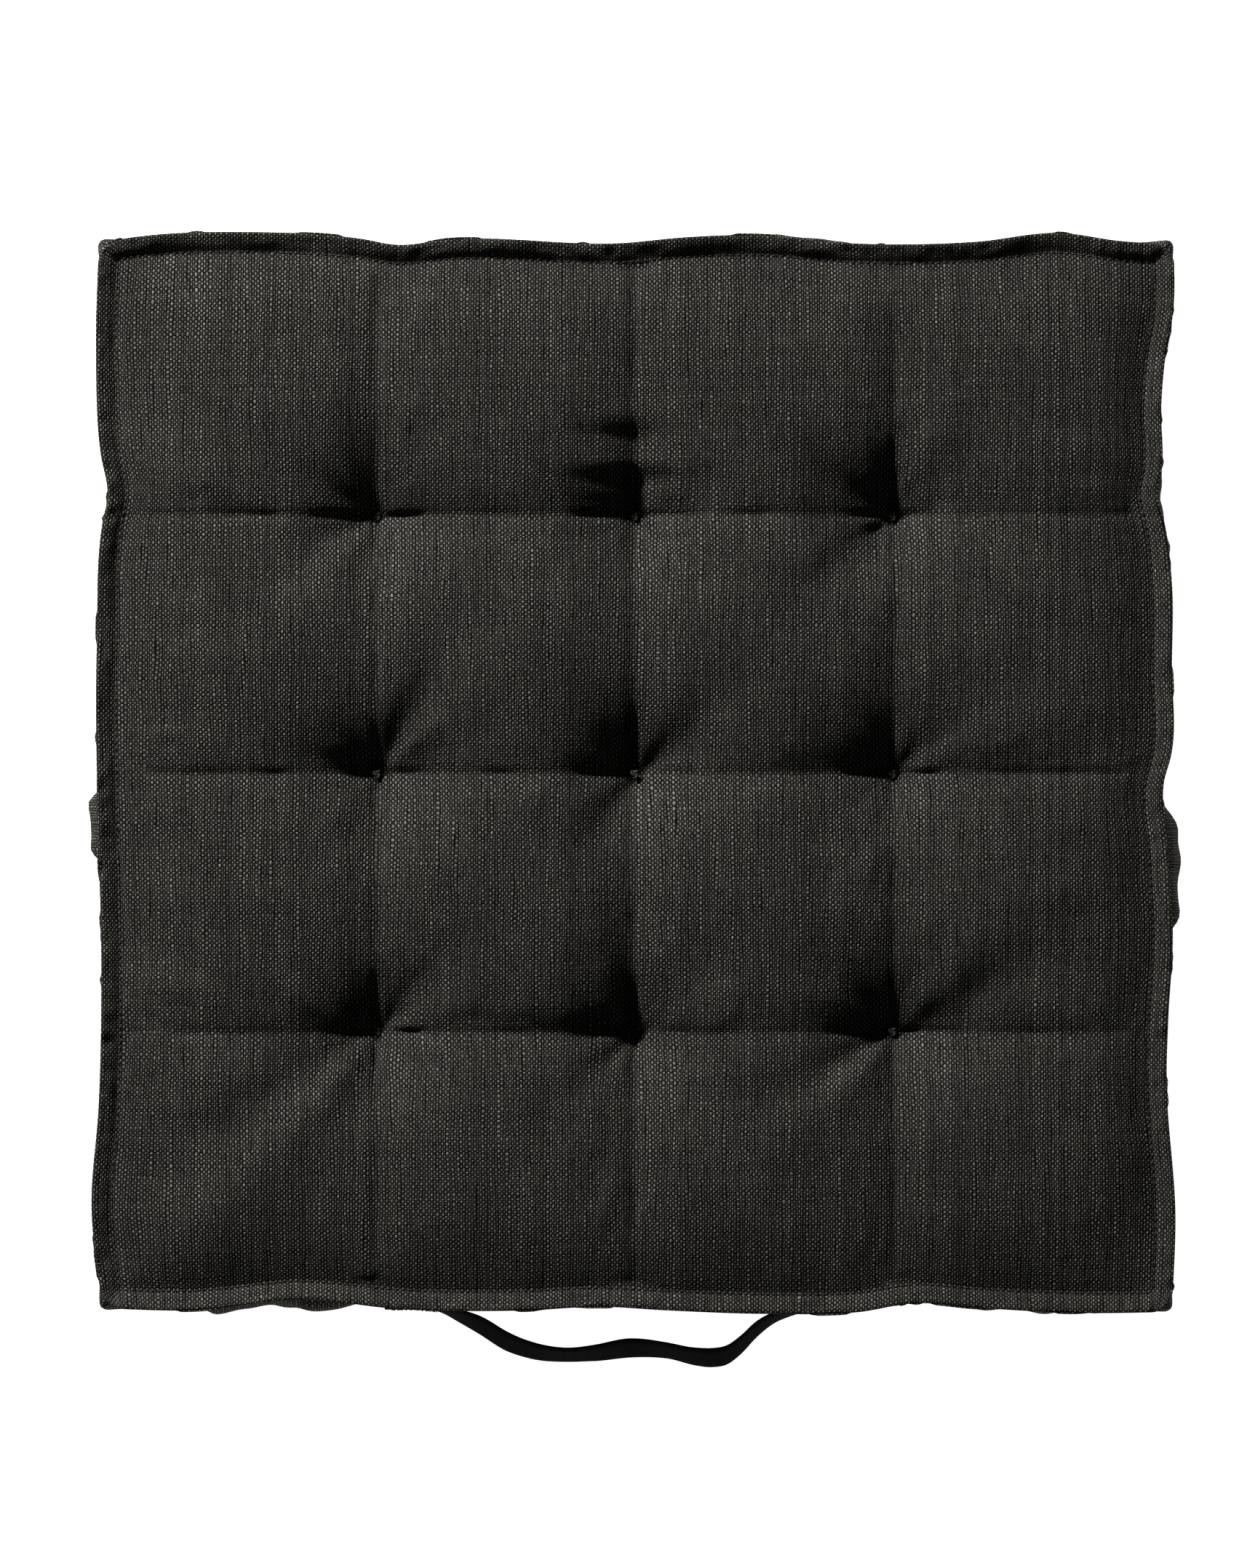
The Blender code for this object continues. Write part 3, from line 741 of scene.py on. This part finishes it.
for name, sign in (("top_edge_stitch", 1), ("bottom_edge_stitch", -1)):
    points, faces = seam_round(sign)
    seam = make_piece(name + "_thread", points, faces, thread, points[:, :2] + points[:, 2:])
    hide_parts(name)

# --------------------------------------------------------------------------------------------
# Tufting ties: nine lengths of waxed cord, drawn right through the cushion and knotted at both
# ends, at the bottoms of the pits.
# --------------------------------------------------------------------------------------------

cord_wax, tree = new_material("waxed_cotton_cord")
place_on_piece = add(tree, "TexCoord").outputs["UV"]
looks = {"Vector": place_on_piece, "Scale": 250, "Distortion": 1}
twist = add(tree, "TexWave", looks, bands_direction="DIAGONAL")
ply = add(tree, "Bump", {"Strength": 0.8, "Distance": 0.0003, "Height": twist})
looks = {"Base Color": hex_colour("#191816"), "Roughness": 0.6, "Normal": ply}
add(tree, "OutputMaterial", {"Surface": add(tree, "BsdfPrincipled", looks)})


def tube_along(path, radius, around=8, closed=False):
    """A tube of one radius round a path of points, its rings square to the path. Returns its
    points, its faces, and each point's place along the cord and round it."""
    if closed:
        ahead = np.roll(path, -1, 0) - np.roll(path, 1, 0)
    else:
        ahead = np.gradient(path, axis=0)
    ahead = ahead / np.linalg.norm(ahead, axis=1)[:, None]
    aside = np.cross(ahead, [0.31, 0.17, 0.93])
    aside /= np.linalg.norm(aside, axis=1)[:, None]
    above = np.cross(ahead, aside)
    turn = np.linspace(0, 2 * np.pi, around, endpoint=False)[None, :, None]
    points = path[:, None] + radius * (np.cos(turn) * aside[:, None] + np.sin(turn) * above[:, None])
    if closed:
        # the last ring's quads join it to the first
        faces = grid_faces(len(path) + 1, around, loop=True) % (len(path) * around)
    else:
        faces = tube_faces(len(path), around)
    length = np.cumsum(np.linalg.norm(np.diff(path, axis=0, prepend=path[:1]), axis=1))
    girth = np.linspace(0, 2 * np.pi * radius, around)
    uv = np.stack(np.meshgrid(length, girth, indexing="ij"), -1)
    return points.reshape(-1, 3), faces, uv.reshape(-1, 2)


# radii of the cord in the cushion and in the knot, where it is drawn tight, and the knot's size
CORD = 0.0009
KNOT_CORD = 0.00075
KNOT = (0.0022, 0.0022, 0.0011)
KNOT_LEVEL = SEAT_LEVEL - SINK + 0.0016


def tie(x, y):
    """One tie: a straight cord between two knots, each a trefoil of cord pressed flat. The
    trefoil is (sin t + 2 sin 2t, cos t - 2 cos 2t, -1.6 sin 3t) / 3, times the knot's size."""
    t = np.linspace(0, 2 * np.pi, 48, endpoint=False)
    across = np.sin(t) + 2 * np.sin(2 * t)
    along = np.cos(t) - 2 * np.cos(2 * t)
    trefoil = np.stack([across, along, -1.6 * np.sin(3 * t)], -1) / 3 * KNOT
    upright = np.linspace(-1, 1, 9)[:, None] * (0, 0, SEAT_LEVEL - SINK + 0.001) + (x, y, 0)
    parts = [tube_along(upright, CORD)]
    for sign in (1, -1):
        centre = (x, y, sign * KNOT_LEVEL)
        parts.append(tube_along(trefoil * (1, sign, sign) + centre, KNOT_CORD, closed=True))
    points, faces, uvs = zip(*parts)
    starts = np.cumsum([0] + [len(tube) for tube in points[:-1]])
    faces = [tube + start for tube, start in zip(faces, starts)]
    return np.concatenate(points), np.concatenate(faces), np.concatenate(uvs)


for number in range(9):
    points, faces, tie_uv = tie(TUFT_LINES[number % 3], TUFT_LINES[number // 3])
    node = f"tuft_tie_{number + 1}"
    cord = make_piece(node + "_cord", points, faces, cord_wax, tie_uv)
    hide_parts(node)

# --------------------------------------------------------------------------------------------
# Carrying strap: one strip of webbing, painted near black, part its own dark colour and part
# painted shade from the cushion's shadow, sewn flat to the front boxing at both ends. Its
# slack stands off the wall in two shallow humps, with its upper edge leaning back.
# --------------------------------------------------------------------------------------------

# cotton webbing: a tight plain weave, painted near black: part its own dark colour and part painted shade
# for the cushion's shadow that it lies in
looks = {"thread": "#0e0e0d", "gap": "#000000", "warp": 0.0012, "weft": 0.0016, "slub": 0.3}
webbing = woven_cloth("black_webbing_and_painted_shade", **looks)

STRAP_WIDTH = 0.030
STRAP_THICKNESS = 0.0024
TOPSTITCH_DENT = 0.00035
tab_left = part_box("handle_end_left")
tab_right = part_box("handle_end_right")
# where the two halves meet, and how far the free loop hangs below its ends
STRAP_MIDDLE = -0.007
SAG = 0.0016
# the front wall, and how much it rounds away over half the strap's width
WALL_OUT = STRIPS["front"][0]
WALL_ROUND = 0.0009
# standoff of the strap's middle from the wall in mm, and its lean in degrees, along its run in mm
STANDOFF = [
    (-142, 1.6), (-122, 1.6), (-108, 3.4), (-98, 7.0), (-88, 11.5), (-72, 21), (-56, 26.5), (-40, 28.4),
    (-23, 27.4), (-3, 24.6), (18, 26), (34, 29.4), (44, 30), (52, 28.4), (60, 22.5), (68, 14.5),
    (77, 8.2), (88, 4.6), (101, 2.4), (120, 1.6), (134, 1.6),
]
LEAN = [
    (-142, 0), (-116, 0), (-100, 15), (-84, 24), (-60, 21), (-40, 17), (-3, 23), (20, 19), (44, 23),
    (64, 22), (84, 10), (106, 0), (134, 0),
]
STANDOFF, LEAN = (np.array(points, float).T for points in (STANDOFF, LEAN))


def strap_half(first, last):
    """Half of the strap: its section, a flat oblong with rounded edges, carried along its run.
    The half thickness falls off across it as the root of (1 - w to the 7th)."""
    run = np.linspace(first, last, 120)
    w = np.linspace(-1, 1, 25)
    w = np.sign(w) * (1 - (1 - np.abs(w)) ** 1.5)
    thick = STRAP_THICKNESS / 2 * np.sqrt(1 - np.abs(w) ** 7)
    # a shallow dent along each line of topstitching
    dent = TOPSTITCH_DENT * np.exp(-(((np.abs(w) - 0.80) / 0.05) ** 2))
    thick = np.maximum(thick - dent, 0)
    half = STRAP_WIDTH / 2
    across = np.concatenate([w, w[-2:0:-1]]) * half
    depth = np.concatenate([thick, -thick[-2:0:-1]])
    standoff = smooth_line(run * 1e3, *STANDOFF)[:, None] / 1e3
    lean = np.radians(smooth_line(run * 1e3, *LEAN))[:, None]
    sag = -SAG * ease(standoff / 0.02)
    y = -(WALL_OUT + standoff) + across * np.sin(lean) - depth * np.cos(lean)
    # the wall behind the tabs is round, and they follow it
    flat = 1 - ease(lean / 0.05)
    y = y + flat * WALL_ROUND * (across / half) ** 2
    z = sag + across * np.cos(lean) + depth * np.sin(lean)
    run = run[:, None]
    points = np.stack([run + 0 * y, y, z + 0 * y], -1)
    uv = np.stack([run + 0 * y, np.concatenate([w, 2 - w[-2:0:-1]]) * half + 0 * y], -1)
    return points, uv


# each half's run, the nodes it stands for, and where it starts and ends its turn from the
# cushion to the loop
for side, first, last, nodes, start, end in (
    ("left", tab_left[0].x, STRAP_MIDDLE, ["handle_end_left", "handle_strap"], -0.108, -0.045),
    ("right", STRAP_MIDDLE, tab_right[1].x, ["handle_end_right"], 0.100, 0.035),
):
    points, strap_uv = strap_half(first, last)
    faces = tube_faces(*points.shape[:2])[:, ::-1]
    strap = make_piece("strap_" + side, points, faces, webbing, strap_uv, body=None)
    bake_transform(strap)
    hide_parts(*nodes)

# --------------------------------------------------------------------------------------------
# Strap stitching: each tab is held by a sewn box with a cross in it.
# --------------------------------------------------------------------------------------------

# the box's margin inside the tab, and its stitches, with a gap of 12% of one at each end
BOX_MARGIN = 0.004
BOX_STITCH = 0.0030
END_GAP = 0.12

# the tabs' ends along the strap's run
for side, low, high in (("left", -0.141, -0.108), ("right", 0.101, 0.133)):
    x0, x1 = low + BOX_MARGIN, high - BOX_MARGIN
    z1 = STRAP_WIDTH / 2 - BOX_MARGIN
    frame_of_box = [(x0, -z1), (x1, -z1), (x1, z1), (x0, z1), (x0, -z1)]
    corners = np.array([*frame_of_box, (x1, z1), (x0, z1), (x1, -z1)])
    starts, ends = [], []
    for a, b in zip(corners[:-1], corners[1:]):
        count = max(2, round(np.hypot(*(b - a)) / BOX_STITCH))
        t = np.linspace(0, 1, count + 1)[:, None]
        starts.append(a + (b - a) * (t[:-1] + END_GAP / count))
        ends.append(a + (b - a) * (t[1:] - END_GAP / count))
    placed = []
    for flat in (np.concatenate(starts), np.concatenate(ends)):
        run, level = flat.T
        standoff = smooth_line(run * 1e3, *STANDOFF) / 1e3
        y = -(WALL_OUT + standoff + STRAP_THICKNESS / 2) + WALL_ROUND * (2 * level / STRAP_WIDTH) ** 2
        placed.append(np.stack([run, y, level], -1))
    lift = np.array([0.0, -1.0, 0.0]) + 0 * placed[0]
    points, faces = stitch_run(*placed, lift)
    flat = points[:, :2] + points[:, 2:]
    box = make_piece("strap_stitches_" + side, points, faces, thread, flat)
    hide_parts("handle_stitch_" + side)

# --------------------------------------------------------------------------------------------
# Floor, light and camera: a pale floor, one soft lamp from the upper left, and a view from
# straight above.
# --------------------------------------------------------------------------------------------

pale, tree = new_material("pale_floor")
looks = {"Base Color": hex_colour("#f4f4f3"), "Roughness": 0.9}
looks |= {"Emission Color": hex_colour("#ffffff"), "Emission Strength": 0.98}
add(tree, "OutputMaterial", {"Surface": add(tree, "BsdfPrincipled", looks)})
reach = 15.0
corners = [(-reach, -reach, 0), (reach, -reach, 0), (reach, reach, 0), (-reach, reach, 0)]
floor_mesh = bpy.data.meshes.new("floor")
floor_mesh.from_pydata(corners, [], [(0, 1, 2, 3)])
floor_mesh.materials.append(pale)
floor = bpy.data.objects.new("floor", floor_mesh)
bpy.context.scene.collection.objects.link(floor)

# a studio with pale walls and a dark ceiling
world = bpy.data.worlds.new("studio")
world.use_nodes = True
tree = world.node_tree
tree.nodes.clear()
heading = add(tree, "SeparateXYZ", {0: add(tree, "TexCoord").outputs["Generated"]})
level = {"Value": heading.outputs[2], "From Min": 0.10, "From Max": 0.20, "To Min": 1.0, "To Max": 0.06}
strength = add(tree, "MapRange", level, interpolation_type="SMOOTHSTEP")
add(tree, "OutputWorld", {"Surface": add(tree, "Background", {"Strength": strength})})
bpy.context.scene.world = world
bpy.context.scene.view_settings.view_transform = "Standard"


def lamp(name, bearing, height, distance, size, power):
    """An area lamp that points at the cushion: its bearing and height are in degrees."""
    bearing, height = np.radians(bearing), np.radians(height)
    way = Vector((np.cos(bearing) * np.cos(height), np.sin(bearing) * np.cos(height), np.sin(height)))
    data = bpy.data.lights.new(name, "AREA")
    data.shape = "DISK"
    data.size = size
    data.energy = power
    made = bpy.data.objects.new(name, data)
    made.location = MIDDLE + way * distance
    made.rotation_euler = way.to_track_quat("Z", "Y").to_euler()
    bpy.context.scene.collection.objects.link(made)


lamp("key", bearing=125, height=33, distance=3.0, size=0.4, power=185)

camera_data = bpy.data.cameras.new("camera")
camera_data.lens = 246
camera = bpy.data.objects.new("camera", camera_data)
camera.location = (MIDDLE.x - 0.0043, MIDDLE.y - 0.0057, 6.1)
bpy.context.scene.collection.objects.link(camera)
bpy.context.scene.camera = camera
